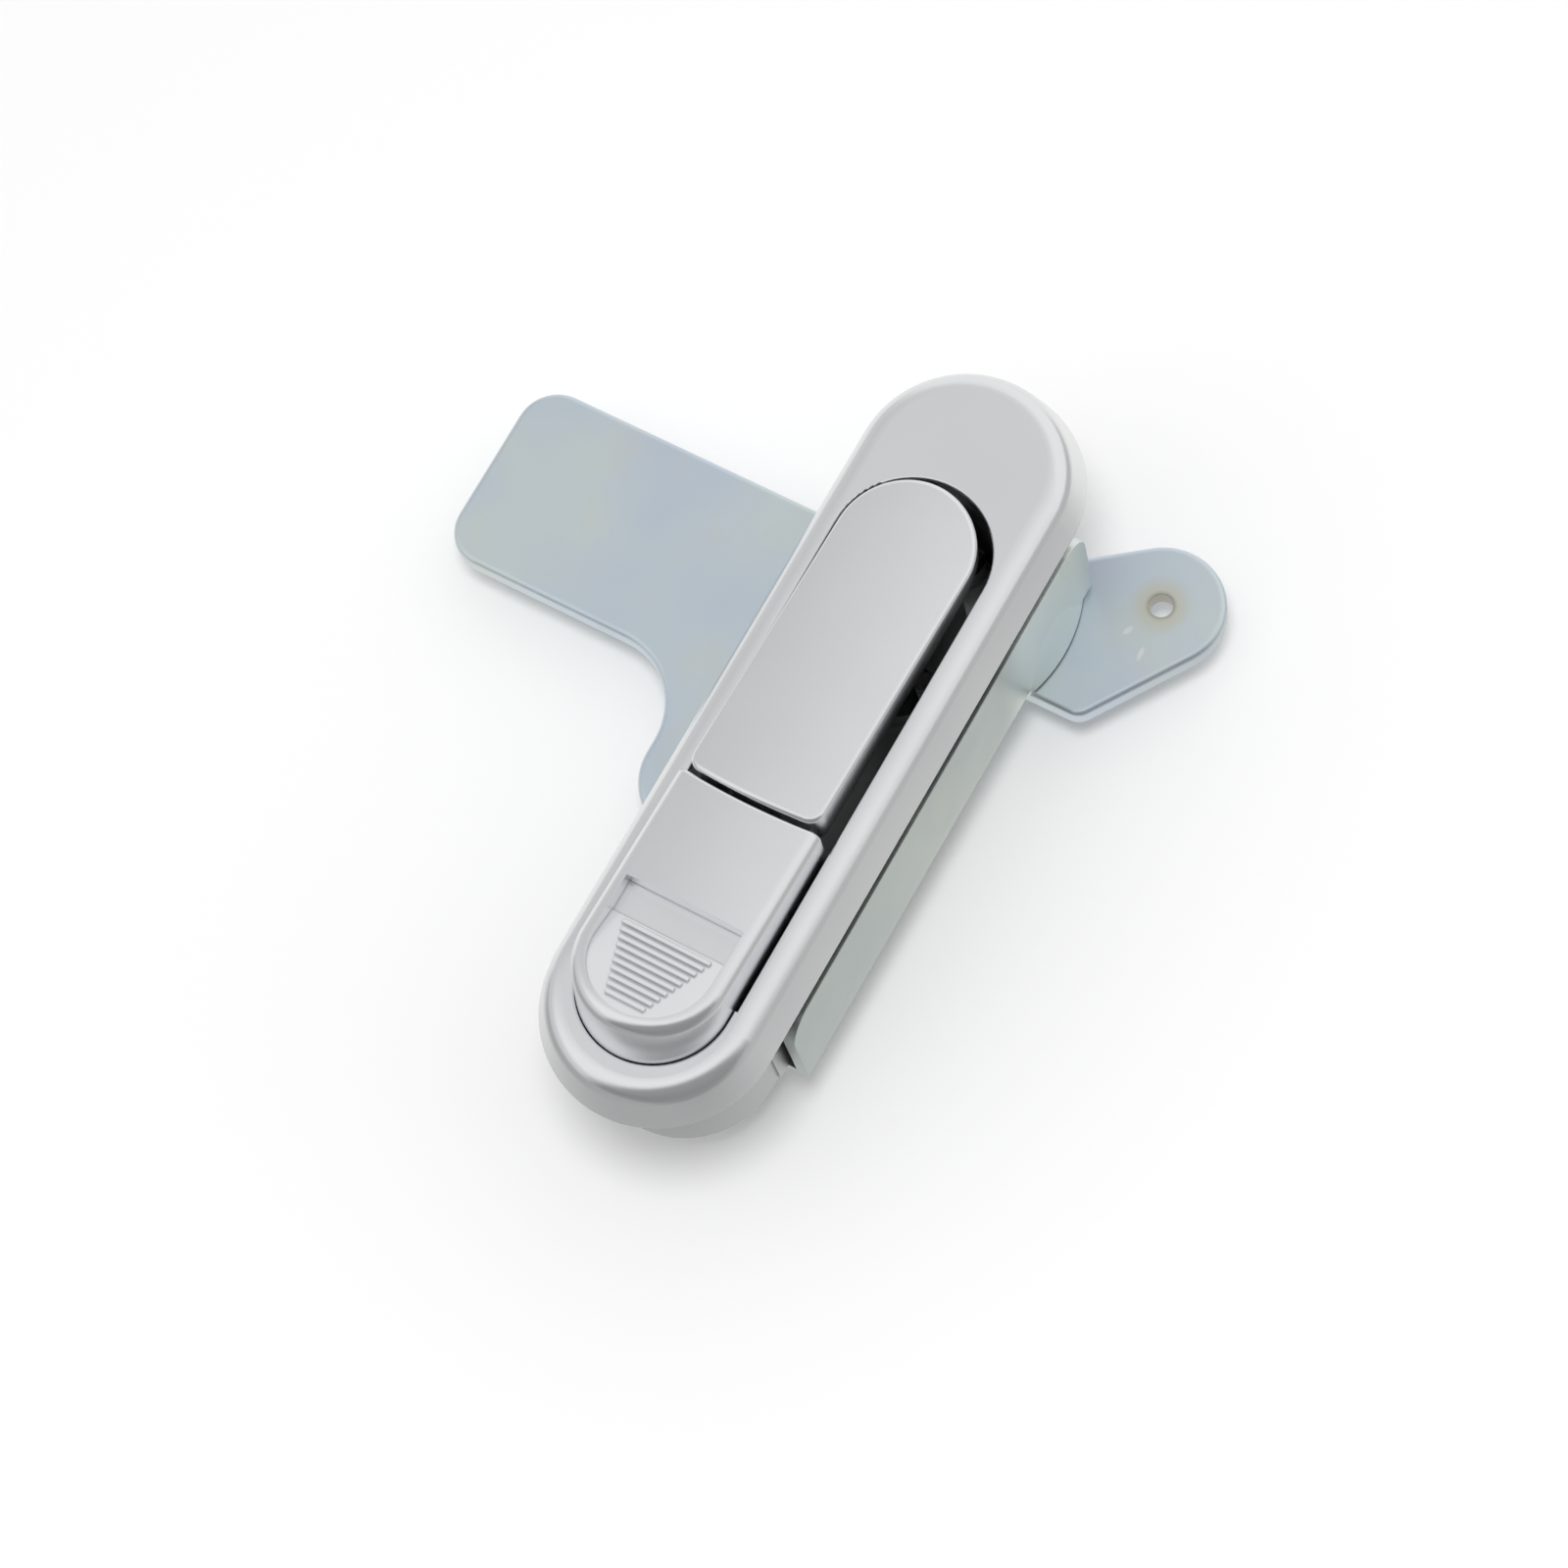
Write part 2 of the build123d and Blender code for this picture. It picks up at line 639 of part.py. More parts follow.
# Catch lever: a nose that holds the handle's end and a tail that the button pushes
with BuildPart() as catch_lever:
    arm_front_y = button_front_y - button_wall - catch_window_gap
    nose_top = catch_nose_z + catch_nose_height / 2
    tail_top = catch_pin_z + catch_tail_rise
    with BuildSketch(Plane.YZ):
        with Locations((catch_pin_y, catch_pin_z)):
            Circle(catch_hub_radius)
        with Locations((arm_front_y, catch_pin_z)):
            Rectangle(catch_thickness, nose_top - catch_pin_z, align=(Align.MAX, Align.MIN))
        with Locations((button_front_y - running_gap, nose_top)):
            Rectangle(button_wall + catch_nose_length, catch_nose_height, align=(Align.MAX, Align.MAX))
        with Locations((catch_pin_y, tail_top)):
            Rectangle(catch_arm + 2 * push_leg_radius, catch_thickness, align=(Align.MAX, Align.MAX))
        with Locations((catch_pin_y, catch_pin_z)):
            Circle(catch_pin_radius + running_gap, mode=Mode.SUBTRACT)
    extrude(amount=catch_width / 2, both=True)
catch_lever.part.label = "catch_lever"
export_step(catch_lever.part, "parts/catch_lever.step")


def cross_pin(y):
    """Pin that crosses the tray from wall to wall."""
    with BuildPart() as pin:
        with BuildSketch(Plane.YZ):
            with Locations((y, catch_pin_z)):
                Circle(catch_pin_radius)
        extrude(amount=tray_width / 2, both=True)
    return pin


catch_pin = cross_pin(catch_pin_y)
catch_pin.part.label = "catch_pin"
export_step(catch_pin.part, "parts/catch_pin.step")

guide_pin = cross_pin(guide_pin_y)
guide_pin.part.label = "guide_pin"
export_step(guide_pin.part, "parts/guide_pin.step")

# Catch spring: returns the catch and, through it, the button
catch_spring = coil(
    catch_spring_radius,
    catch_spring_wire,
    floor_z,
    catch_pin_z + catch_tail_rise - catch_thickness - spring_gap,
    catch_spring_turns,
    0,
    catch_tail_y,
)
catch_spring.part.label = "catch_spring"
export_step(catch_spring.part, "parts/catch_spring.step")

# Mounting bracket: U-channel that clamps the housing behind the panel
web_back = -body_depth - bracket_thickness


def leg_bulge(inset, foot_z):
    """Conical bulge of the right leg, shrunk by the inset and standing on the foot level."""
    with BuildPart() as bulge:
        with Locations((bulge_axis_x, bulge_y, foot_z)):
            Cone(bulge_foot_radius - inset, bulge_top_radius - inset, -bracket_panel_room - foot_z,
                 align=(Align.CENTER, Align.CENTER, Align.MIN))
        with Locations((bracket_width / 2 - bracket_thickness, bracket_top_y, 0)):
            Box(bezel_width, bezel_length, bezel_length, align=(Align.MIN, Align.MAX, Align.CENTER),
                mode=Mode.INTERSECT)
    return bulge.part


with BuildPart() as mounting_bracket:
    with BuildSketch(Plane.XZ.offset(-bracket_top_y)):
        with Locations((0, web_back)):
            Rectangle(bracket_width, -bracket_panel_room - web_back, align=(Align.CENTER, Align.MIN))
        with Locations((0, -body_depth)):
            Rectangle(bracket_width - 2 * bracket_thickness, body_depth,
                      align=(Align.CENTER, Align.MIN), mode=Mode.SUBTRACT)
    extrude(amount=bracket_top_y - bracket_foot_y)
    fillet(mounting_bracket.edges().filter_by(Axis.Y).group_by(Axis.Z)[0], bracket_bend_radius)
    fillet(mounting_bracket.edges().filter_by(Axis.X).group_by(Axis.Z)[-1], bracket_corner_radius)
    # Bulges pressed into both legs beside the plain end
    outer_bulge = leg_bulge(0, web_back)
    add(outer_bulge)
    mirror(outer_bulge, about=Plane.YZ)
    inner_bulge = leg_bulge(bracket_thickness, -body_depth)
    add(inner_bulge, mode=Mode.SUBTRACT)
    mirror(inner_bulge, about=Plane.YZ, mode=Mode.SUBTRACT)
    with BuildSketch(Plane.XY.offset(web_back)):
        with Locations((0, spindle_y)):
            Circle(bracket_window_radius)
    extrude(amount=bracket_thickness, mode=Mode.SUBTRACT)
    with Locations(*[Plane((0, y, web_back), z_dir=(0, 0, -1)) for y in (screw_upper_y, screw_lower_y)]):
        CounterSinkHole(screw_radius + running_gap, screw_head_radius + running_gap, bracket_thickness, 90)
mounting_bracket.part.label = "mounting_bracket"
export_step(mounting_bracket.part, "parts/mounting_bracket.step")

# Bracket screws: countersunk, flush with the back of the bracket
with BuildPart() as bracket_screws:
    for screw_y in (screw_upper_y, screw_lower_y):
        with BuildSketch(Plane.XZ.offset(-screw_y)):
            with BuildLine():
                Polyline(
                    (0, web_back),
                    (screw_head_radius, web_back),
                    (screw_radius, web_back + screw_head_radius - screw_radius),
                    (screw_radius, web_back + screw_length),
                    (0, web_back + screw_length),
                    close=True,
                )
            make_face()
        revolve(axis=Axis((0, screw_y, 0), (0, 0, 1)))
    with BuildSketch(Plane.XY.offset(web_back)):
        with Locations((0, screw_upper_y), (0, screw_lower_y)):
            Rectangle(2 * screw_head_radius, screw_slot_depth)
    extrude(amount=screw_slot_depth, mode=Mode.SUBTRACT)
bracket_screws.part.label = "bracket_screws"
export_step(bracket_screws.part, "parts/bracket_screws.step")

# Cam plate: latch paddle to the left, rod ear to the upper right, rod lobe to the lower left
upper = (cos(radians(ear_upper_angle)), sin(radians(ear_upper_angle)))
lower = (cos(radians(ear_lower_angle)), sin(radians(ear_lower_angle)))
lobe = (cos(radians(lobe_lower_angle)), sin(radians(lobe_lower_angle)))
ear_upper_x = ear_hole_x - ear_tip_radius * upper[1]
ear_upper_y = ear_hole_y + ear_tip_radius * upper[0]
ear_lower_x = ear_hole_x + ear_tip_radius * lower[1]
ear_lower_y = ear_hole_y - ear_tip_radius * lower[0]
ear_heel_x = ear_lower_x - (ear_lower_y - ear_heel_y) * lower[0] / lower[1]
lobe_left_x = lobe_hole_x - ear_tip_radius
lobe_lower_x = lobe_hole_x + ear_tip_radius * lobe[1]
lobe_lower_y = lobe_hole_y - ear_tip_radius * lobe[0]
with BuildPart() as cam_plate:
    with BuildSketch(Plane.XY.offset(cam_bottom)) as cam_outline:
        with Locations((0, spindle_y)):
            Circle(cam_hub_radius)
        with BuildLine():
            Polyline(
                (0, paddle_upper_y),
                (paddle_end_x, paddle_upper_y),
                (paddle_end_x, paddle_lower_y),
                (lobe_left_x, paddle_lower_y),
                (lobe_left_x, lobe_hole_y),
                (lobe_hole_x, lobe_hole_y),
                (lobe_lower_x, lobe_lower_y),
                (0, lobe_lower_y - lobe_lower_x * tan(radians(lobe_lower_angle))),
                (0, ear_heel_y),
                (ear_heel_x, ear_heel_y),
                (ear_lower_x, ear_lower_y),
                (ear_hole_x, ear_hole_y),
                (ear_upper_x, ear_upper_y),
                (0, ear_upper_y - ear_upper_x * tan(radians(ear_upper_angle))),
                close=True,
            )
        make_face()
        with Locations((ear_hole_x, ear_hole_y), (lobe_hole_x, lobe_hole_y)):
            Circle(ear_tip_radius)
        corners = cam_outline.vertices()
        fillet(corners.group_by(Axis.X)[0], paddle_corner_radius)
        fillet(cam_outline.vertices().sort_by_distance((lobe_left_x, paddle_lower_y, cam_bottom))[0],
               paddle_root_radius)
        fillet(cam_outline.vertices().sort_by_distance((ear_heel_x, ear_heel_y, cam_bottom))[0],
               ear_heel_radius)
    extrude(amount=cam_thickness)
    fillet(cam_plate.faces().sort_by(Axis.Z)[-1].edges(), cam_edge_radius)
    with BuildSketch(Plane.XY.offset(cam_bottom)):
        with Locations((ear_hole_x, ear_hole_y), (lobe_hole_x, lobe_hole_y)):
            Circle(ear_hole_radius)
        with Locations((0, spindle_y)):
            Rectangle(square_size + 2 * square_gap, square_size + 2 * square_gap)
    extrude(amount=cam_thickness, mode=Mode.SUBTRACT)
cam_plate.part.label = "cam_plate"
export_step(cam_plate.part, "parts/cam_plate.step")

# Plain washer, spring washer and screw that hold the cam plate on the square
with BuildPart() as cam_washer:
    with BuildSketch(Plane.XY.offset(cam_bottom - cam_washer_thickness)):
        with Locations((0, spindle_y)):
            Circle(cam_washer_radius)
            Circle(cam_screw_radius + stop_gap, mode=Mode.SUBTRACT)
    extrude(amount=cam_washer_thickness)
cam_washer.part.label = "cam_washer"
export_step(cam_washer.part, "parts/cam_washer.step")

spring_washer_bottom = cam_bottom - cam_washer_thickness - spring_washer_thickness
with BuildPart() as cam_spring_washer:
    with BuildSketch(Plane.XY.offset(spring_washer_bottom)):
        with Locations((0, spindle_y)):
            Circle(spring_washer_radius)
            Circle(cam_screw_radius + stop_gap, mode=Mode.SUBTRACT)
            Rectangle(spring_washer_split, bezel_width, align=(Align.CENTER, Align.MIN), mode=Mode.SUBTRACT)
    extrude(amount=spring_washer_thickness)
cam_spring_washer.part.label = "cam_spring_washer"
export_step(cam_spring_washer.part, "parts/cam_spring_washer.step")

with BuildPart() as cam_screw:
    with BuildSketch(Plane.XY.offset(spring_washer_bottom - cam_screw_head_height)):
        with Locations((0, spindle_y)):
            RegularPolygon(cam_screw_head_flats / 2, 6, major_radius=False)
    extrude(amount=cam_screw_head_height)
    with BuildSketch(Plane.XY.offset(spring_washer_bottom)):
        with Locations((0, spindle_y)):
            Circle(cam_screw_radius)
    extrude(amount=cam_screw_length)
cam_screw.part.label = "cam_screw"
export_step(cam_screw.part, "parts/cam_screw.step")
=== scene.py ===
import json
from math import cos, radians, sin

import bpy
import numpy as np
from mathutils import Matrix, Vector


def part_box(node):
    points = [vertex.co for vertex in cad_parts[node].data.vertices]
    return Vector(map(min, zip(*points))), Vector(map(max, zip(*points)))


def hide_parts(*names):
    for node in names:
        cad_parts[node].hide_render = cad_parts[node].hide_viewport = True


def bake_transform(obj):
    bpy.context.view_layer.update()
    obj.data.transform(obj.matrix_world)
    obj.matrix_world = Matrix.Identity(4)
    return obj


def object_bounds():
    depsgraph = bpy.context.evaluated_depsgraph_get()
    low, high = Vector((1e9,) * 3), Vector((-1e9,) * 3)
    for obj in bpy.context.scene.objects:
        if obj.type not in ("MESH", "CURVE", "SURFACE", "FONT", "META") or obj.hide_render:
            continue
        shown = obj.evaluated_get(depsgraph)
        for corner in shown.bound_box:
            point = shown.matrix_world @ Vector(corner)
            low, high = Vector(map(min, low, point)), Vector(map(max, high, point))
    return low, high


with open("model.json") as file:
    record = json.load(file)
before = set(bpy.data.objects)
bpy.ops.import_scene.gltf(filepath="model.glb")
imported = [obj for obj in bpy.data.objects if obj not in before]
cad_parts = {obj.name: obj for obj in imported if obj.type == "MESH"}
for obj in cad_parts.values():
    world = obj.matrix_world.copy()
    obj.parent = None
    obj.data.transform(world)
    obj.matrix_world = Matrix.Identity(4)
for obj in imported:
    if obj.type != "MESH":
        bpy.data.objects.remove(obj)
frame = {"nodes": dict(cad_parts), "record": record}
cad_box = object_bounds()
nodes = frame["nodes"]
MM = 0.001

# Node settings that recur
COLOURS = {"data_type": "RGBA"}
NUMBERS = {"data_type": "FLOAT"}
SMOOTH = {"interpolation_type": "SMOOTHSTEP"}
TIMES = {"operation": "MULTIPLY"}
TIMES_PLUS = {"operation": "MULTIPLY_ADD"}
LENGTH = {"operation": "LENGTH"}

# Sockets of a Mix node, whose names recur on it: its share, its two colours or numbers, and what comes out
SHARE = 0
COLOUR_A, COLOUR_B, MIXED_COLOUR = 6, 7, 2
NUMBER_A, NUMBER_B, MIXED_NUMBER = 2, 3, 0

# Round-ended outline that takes in the bezel's recess and its walls, in millimetres: half its width, and how
# far along Y its straight sides run
RECESS_HALF_WIDTH = 12.4
RECESS_FOOT, RECESS_HEAD = -43.95, 29.55

# Rod holes of the cam plate, x and y in millimetres
EAR_HOLE = (28.7, 49.5)
LOBE_HOLE = (-20.2, -6.2)


# Materials

def linear(code):
    """Linear RGBA of an sRGB hex colour: c/12.92 below 0.04045, else ((c+0.055)/1.055)^2.4."""
    channels = [int(code[i:i + 2], 16) / 255 for i in (1, 3, 5)]
    return [c / 12.92 if c <= 0.04045 else ((c + 0.055) / 1.055) ** 2.4 for c in channels] + [1.0]


def add(tree, kind, settings=None, inputs=None):
    """Adds a node, sets its settings, and fills or links its sockets."""
    made = tree.nodes.new(kind)
    for name, value in (settings or {}).items():
        setattr(made, name, value)
    for socket, value in (inputs or {}).items():
        if isinstance(value, bpy.types.NodeSocket):
            tree.links.new(value, made.inputs[socket])
        else:
            made.inputs[socket].default_value = value
    return made


def empty_material(name):
    """A material with an empty tree, and its output."""
    material = bpy.data.materials.new(name)
    material.use_nodes = True
    tree = material.node_tree
    tree.nodes.clear()
    return material, tree, tree.nodes.new("ShaderNodeOutputMaterial")


def start_material(name):
    """A material with its output, its principled shader and its object coordinates."""
    material, tree, output = empty_material(name)
    shader = tree.nodes.new("ShaderNodeBsdfPrincipled")
    tree.links.new(shader.outputs["BSDF"], output.inputs["Surface"])
    place = add(tree, "ShaderNodeTexCoord").outputs["Object"]
    return material, tree, shader, place


def per_size(size_mm):
    """Noise scale whose features are about that many millimetres wide: one over the size in metres."""
    return 1.0 / (size_mm * MM)


def painted_tray_shade(tree, axes):
    """Share of painted shade over the tray's inside, 0 to 1: within the recess's round-ended outline, growing
    from just below the rim down to 8 mm behind the panel, and ending 14 mm behind it."""
    rim_mm, deep_mm, lowest_mm = 7.0, -8.0, -14.0
    middle = add(tree, "ShaderNodeClamp", None,
                 {"Value": axes.outputs["Y"], "Min": RECESS_FOOT * MM, "Max": RECESS_HEAD * MM})
    beyond = add(tree, "ShaderNodeMath", {"operation": "SUBTRACT"},
                 {0: axes.outputs["Y"], 1: middle.outputs[0]})
    flat = add(tree, "ShaderNodeCombineXYZ", None, {"X": axes.outputs["X"], "Y": beyond.outputs[0]})
    outward = add(tree, "ShaderNodeVectorMath", LENGTH, {0: flat.outputs[0]})
    within = add(tree, "ShaderNodeMath", {"operation": "LESS_THAN"},
                 {0: outward.outputs["Value"], 1: RECESS_HALF_WIDTH * MM})
    above = add(tree, "ShaderNodeMath", {"operation": "GREATER_THAN"},
                {0: axes.outputs["Z"], 1: lowest_mm * MM})
    depth = add(tree, "ShaderNodeMapRange", SMOOTH,
                {"Value": axes.outputs["Z"], "From Min": rim_mm * MM, "From Max": deep_mm * MM,
                 "To Min": 0.0, "To Max": 1.0})
    inside = add(tree, "ShaderNodeMath", TIMES, {0: within.outputs[0], 1: above.outputs[0]})
    return add(tree, "ShaderNodeMath", TIMES, {0: inside.outputs[0], 1: depth.outputs["Result"]}).outputs[0]


def satin_chrome():
    """Zinc die casting with satin chrome plating: bead-blasted grain under a soft wide gloss, the
    plating a little cloudy over centimetres. Behind the panel it is left as cast, greyer and duller. The
    inside of the tray is painted near-black as shade, and inner corners are given painted shade too."""
    cloud_mm, corner_mm, edge_mm = 22, 0.6, 0.15
    cast_from_mm, cast_below_mm, cast_roughness = -0.1, -0.6, 0.42
    material, tree, shader, place = start_material("satin_chrome_plating")
    cloud = add(tree, "ShaderNodeTexNoise", None,
                {"Vector": place, "Scale": per_size(cloud_mm), "Detail": 2.0})
    plate = add(tree, "ShaderNodeMix", COLOURS,
                {SHARE: cloud.outputs["Fac"], COLOUR_A: linear("#E2E4E7"), COLOUR_B: linear("#ECEDEE")})
    axes = add(tree, "ShaderNodeSeparateXYZ", None, {0: place})
    behind = add(tree, "ShaderNodeMapRange", SMOOTH,
                 {"Value": axes.outputs["Z"], "From Min": cast_from_mm * MM, "From Max": cast_below_mm * MM,
                  "To Min": 0.0, "To Max": 1.0})
    casting = add(tree, "ShaderNodeMix", COLOURS,
                  {SHARE: behind.outputs["Result"], COLOUR_A: plate.outputs[MIXED_COLOUR],
                   COLOUR_B: linear("#B8BABB")})
    # Painted shade: the inside of the tray is darkened to near-black, more so deeper below the rim
    shaded = add(tree, "ShaderNodeMix", COLOURS,
                 {SHARE: painted_tray_shade(tree, axes), COLOUR_A: casting.outputs[MIXED_COLOUR],
                  COLOUR_B: linear("#2C2D2F")})
    # Painted shade in inner corners, such as the feet of the ribs and of the scoop's step, darkest where most
    # enclosed
    corner = add(tree, "ShaderNodeAmbientOcclusion", {"samples": 8, "only_local": True},
                 {"Distance": corner_mm * MM})
    painted_corner_shade = add(tree, "ShaderNodeMapRange", None,
                {"Value": corner.outputs["AO"], "From Min": 0.9, "From Max": 0.4,
                 "To Min": 0.0, "To Max": 0.4})
    colour = add(tree, "ShaderNodeMix", COLOURS,
                 {SHARE: painted_corner_shade.outputs["Result"], COLOUR_A: shaded.outputs[MIXED_COLOUR],
                  COLOUR_B: linear("#85878A")})
    # Grain of the blasting, really about 0.1 mm, drawn coarser so that it shows
    grain_mm = 0.4
    grain = add(tree, "ShaderNodeTexNoise", None,
                {"Vector": place, "Scale": per_size(grain_mm), "Detail": 2.0})
    polish = add(tree, "ShaderNodeMapRange", None,
                 {"Value": grain.outputs["Fac"], "To Min": 0.2, "To Max": 0.28})
    rough = add(tree, "ShaderNodeMix", NUMBERS,
                {SHARE: behind.outputs["Result"], NUMBER_A: polish.outputs["Result"],
                 NUMBER_B: cast_roughness})
    round_edge = add(tree, "ShaderNodeBevel", {"samples": 4}, {"Radius": edge_mm * MM})
    bump = add(tree, "ShaderNodeBump", None,
               {"Strength": 0.12, "Distance": 0.02 * MM, "Height": grain.outputs["Fac"],
                "Normal": round_edge.outputs["Normal"]})
    shader.inputs["Metallic"].default_value = 1.0
    tree.links.new(colour.outputs[MIXED_COLOUR], shader.inputs["Base Color"])
    tree.links.new(rough.outputs[MIXED_NUMBER], shader.inputs["Roughness"])
    tree.links.new(bump.outputs["Normal"], shader.inputs["Normal"])
    return material


def oval_mark(tree, place, x_mm, y_mm, angle, half_length_mm, half_width_mm):
    """Mask of an oval stain, wipe, painted shade or painted highlight. With u and v along and across it in
    units of its half sizes, it is 1 where sqrt(u^2 + v^2) is below 0.4, and fades to 0 at 1."""
    turned = add(tree, "ShaderNodeMapping", {"vector_type": "TEXTURE"},
                 {"Vector": place, "Location": (x_mm * MM, y_mm * MM, 0), "Rotation": (0, 0, radians(angle)),
                  "Scale": (half_length_mm * MM, half_width_mm * MM, 1.0)})
    axes = add(tree, "ShaderNodeSeparateXYZ", None, {0: turned.outputs[0]})
    flat = add(tree, "ShaderNodeCombineXYZ", None, {"X": axes.outputs["X"], "Y": axes.outputs["Y"]})
    far = add(tree, "ShaderNodeVectorMath", LENGTH, {0: flat.outputs[0]})
    mask = add(tree, "ShaderNodeMapRange", SMOOTH,
               {"Value": far.outputs["Value"], "From Min": 1.0, "From Max": 0.4,
                "To Min": 0.0, "To Max": 1.0})
    return mask.outputs["Result"]


def zinc_plated_steel(name, one, other, marks):
    """Cold-rolled steel sheet, zinc plated and passivated: cool grey between two tones, with faint
    straw patches centimetres wide, a fine rolled grain along X and a half-dull gloss. Stains, wipes,
    painted shade and painted highlights are laid over it as oval marks."""
    wide_mm, patch_mm, edge_mm = 26, 13, 0.2
    grain_mm, grain_squeeze_x = 0.5, 0.06
    material, tree, shader, place = start_material(name)
    wide = add(tree, "ShaderNodeTexNoise", None,
               {"Vector": place, "Scale": per_size(wide_mm), "Detail": 2.0})
    patch = add(tree, "ShaderNodeTexNoise", None,
                {"Vector": place, "Scale": per_size(patch_mm), "Detail": 3.0, "Distortion": 0.6})
    cool = add(tree, "ShaderNodeValToRGB", None, {"Fac": wide.outputs["Fac"]})
    for element, position, code in zip(cool.color_ramp.elements, (0.36, 0.64), (one, other)):
        element.position = position
        element.color = linear(code)
    straw = add(tree, "ShaderNodeMapRange", None,
                {"Value": patch.outputs["Fac"], "From Min": 0.55, "From Max": 0.75,
                 "To Min": 0.0, "To Max": 0.25})
    tint = add(tree, "ShaderNodeMix", COLOURS,
               {SHARE: straw.outputs["Result"], COLOUR_A: cool.outputs["Color"], COLOUR_B: linear("#D6D4C6")})
    skin = tint.outputs[MIXED_COLOUR]
    for x_mm, y_mm, angle, half_length_mm, half_width_mm, share, code in marks:
        mask = oval_mark(tree, place, x_mm, y_mm, angle, half_length_mm, half_width_mm)
        weight = add(tree, "ShaderNodeMath", TIMES, {0: mask, 1: share})
        marked = add(tree, "ShaderNodeMix", COLOURS,
                     {SHARE: weight.outputs[0], COLOUR_A: skin, COLOUR_B: linear(code)})
        skin = marked.outputs[MIXED_COLOUR]
    rolled_place = add(tree, "ShaderNodeMapping", None,
                       {"Vector": place, "Scale": (grain_squeeze_x, 1.0, 1.0)})
    rolled = add(tree, "ShaderNodeTexNoise", None,
                 {"Vector": rolled_place.outputs[0], "Scale": per_size(grain_mm), "Detail": 2.0})
    rough = add(tree, "ShaderNodeMapRange", None,
                {"Value": patch.outputs["Fac"], "To Min": 0.32, "To Max": 0.46})
    round_edge = add(tree, "ShaderNodeBevel", {"samples": 4}, {"Radius": edge_mm * MM})
    bump = add(tree, "ShaderNodeBump", None,
               {"Strength": 0.15, "Distance": 0.02 * MM, "Height": rolled.outputs["Fac"],
                "Normal": round_edge.outputs["Normal"]})
    shader.inputs["Metallic"].default_value = 1.0
    tree.links.new(skin, shader.inputs["Base Color"])
    tree.links.new(rough.outputs["Result"], shader.inputs["Roughness"])
    tree.links.new(bump.outputs["Normal"], shader.inputs["Normal"])
    return material


def turned_steel(name, code, roughness, feed_mm):
    """Plain machined steel: a narrow gloss broken by tool marks along Z. The marks are really one feed
    apart and are drawn 2 pi feeds apart so that they show: the wave turns 20 radians for each unit of its
    scaled height."""
    radians_per_unit, shade_mm = 20, 6
    material, tree, shader, place = start_material(name)
    marks = add(tree, "ShaderNodeTexWave", {"bands_direction": "Z"},
                {"Vector": place, "Scale": per_size(feed_mm) / radians_per_unit, "Distortion": 0.4,
                 "Detail": 1.0})
    shade = add(tree, "ShaderNodeTexNoise", None, {"Vector": place, "Scale": per_size(shade_mm)})
    colour = add(tree, "ShaderNodeMix", COLOURS,
                 {SHARE: shade.outputs["Fac"], COLOUR_A: linear(code), COLOUR_B: linear("#C9C9C6")})
    rough = add(tree, "ShaderNodeMapRange", None,
                {"Value": marks.outputs["Fac"], "To Min": roughness, "To Max": roughness + 0.1})
    shader.inputs["Metallic"].default_value = 1.0
    tree.links.new(colour.outputs[MIXED_COLOUR], shader.inputs["Base Color"])
    tree.links.new(rough.outputs["Result"], shader.inputs["Roughness"])
    return material


def moulded(name, code, other, roughness, grain_mm):
    """Moulded rubber or nylon: a broad weak sheen, a slight unevenness of tone and a fine skin grain."""
    tone_mm = 5
    material, tree, shader, place = start_material(name)
    tone = add(tree, "ShaderNodeTexNoise", None, {"Vector": place, "Scale": per_size(tone_mm)})
    colour = add(tree, "ShaderNodeMix", COLOURS,
                 {SHARE: tone.outputs["Fac"], COLOUR_A: linear(code), COLOUR_B: linear(other)})
    skin = add(tree, "ShaderNodeTexNoise", None, {"Vector": place, "Scale": per_size(grain_mm)})
    bump = add(tree, "ShaderNodeBump", None,
               {"Strength": 0.2, "Distance": 0.03 * MM, "Height": skin.outputs["Fac"]})
    shader.inputs["Roughness"].default_value = roughness
    tree.links.new(colour.outputs[MIXED_COLOUR], shader.inputs["Base Color"])
    tree.links.new(bump.outputs["Normal"], shader.inputs["Normal"])
    return material


# Marks on the sheet: x and y of the middle, angle, half length and half width, share and tone. On the cam
# plate a straw stain round the ear's hole, two light wipes and painted shade round the edges of both holes;
# on the bracket a painted highlight where it bulges.
cam_plate_marks = [
    (*EAR_HOLE, 0, 5.6, 5.6, 0.55, "#CFC8AC"),
    (26.1, 43.7, 65, 1.2, 0.6, 1.0, "#E4EAE8"),
    (29.6, 41.2, 95, 1.6, 0.5, 1.0, "#E4EAE8"),
    # Painted shade round the walls of both holes
    (*EAR_HOLE, 0, 2.7, 2.7, 0.9, "#5F5B50"),
    (*LOBE_HOLE, 0, 2.7, 2.7, 0.9, "#5F5B50"),
]
